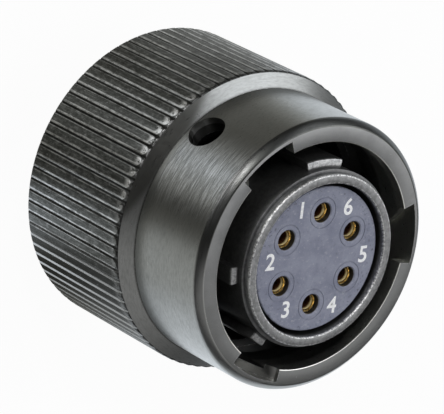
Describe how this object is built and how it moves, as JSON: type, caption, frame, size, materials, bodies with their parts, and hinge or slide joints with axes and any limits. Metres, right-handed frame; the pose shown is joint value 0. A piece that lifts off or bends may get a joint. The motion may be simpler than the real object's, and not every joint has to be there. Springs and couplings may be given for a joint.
{
  "type": "circular connector",
  "caption": "Round bayonet cable plug: knurled coupling ring turning on a keyed barrel, socket contacts in a moulded insert, rear thread for a cable fitting.",
  "frame": {"origin": "centre of the rear end face, on the connector's axis", "axes": "+Z along the connector's axis towards the mating face, +Y towards the master key"},
  "size_m": [0.0218, 0.0218, 0.0232],
  "materials": {
    "ring_metal": "dark grey plated, satin, worn bright on edges",
    "shell_metal": "dark grey plated, satin, worn lighter on the rim",
    "insert_moulding": "matte slate grey moulding",
    "contact_gold": "gold plated",
    "spring_steel": "bright stainless",
    "seal_rubber": "matte black"
  },
  "bodies": {
    "shell": {"plug_shell": "shell_metal", "insert": "insert_moulding", "socket_1": "contact_gold", "socket_2": "contact_gold", "socket_3": "contact_gold", "socket_4": "contact_gold", "socket_5": "contact_gold", "socket_6": "contact_gold", "hood_1": "spring_steel", "hood_2": "spring_steel", "hood_3": "spring_steel", "hood_4": "spring_steel", "hood_5": "spring_steel", "hood_6": "spring_steel", "gasket": "seal_rubber", "front_washer": "spring_steel", "wave_washer": "spring_steel", "retaining_ring": "spring_steel"},
    "thrust": {"rear_washer": "spring_steel"},
    "coupling": {"coupling_ring": "ring_metal"}
  },
  "joints": [
    {"name": "ring_float", "type": "slide", "parent": "shell", "child": "thrust", "axis": [0, 0, 1], "range_m": [0, 0.0007], "stiffness_N_per_m": 400, "springref_m": -0.0008, "deforming": ["wave_washer"]},
    {"name": "ring_turn", "type": "hinge", "parent": "thrust", "child": "coupling", "pos_m": [0, 0, 0.0077], "axis": [0, 0, 1], "continuous": true}
  ]
}
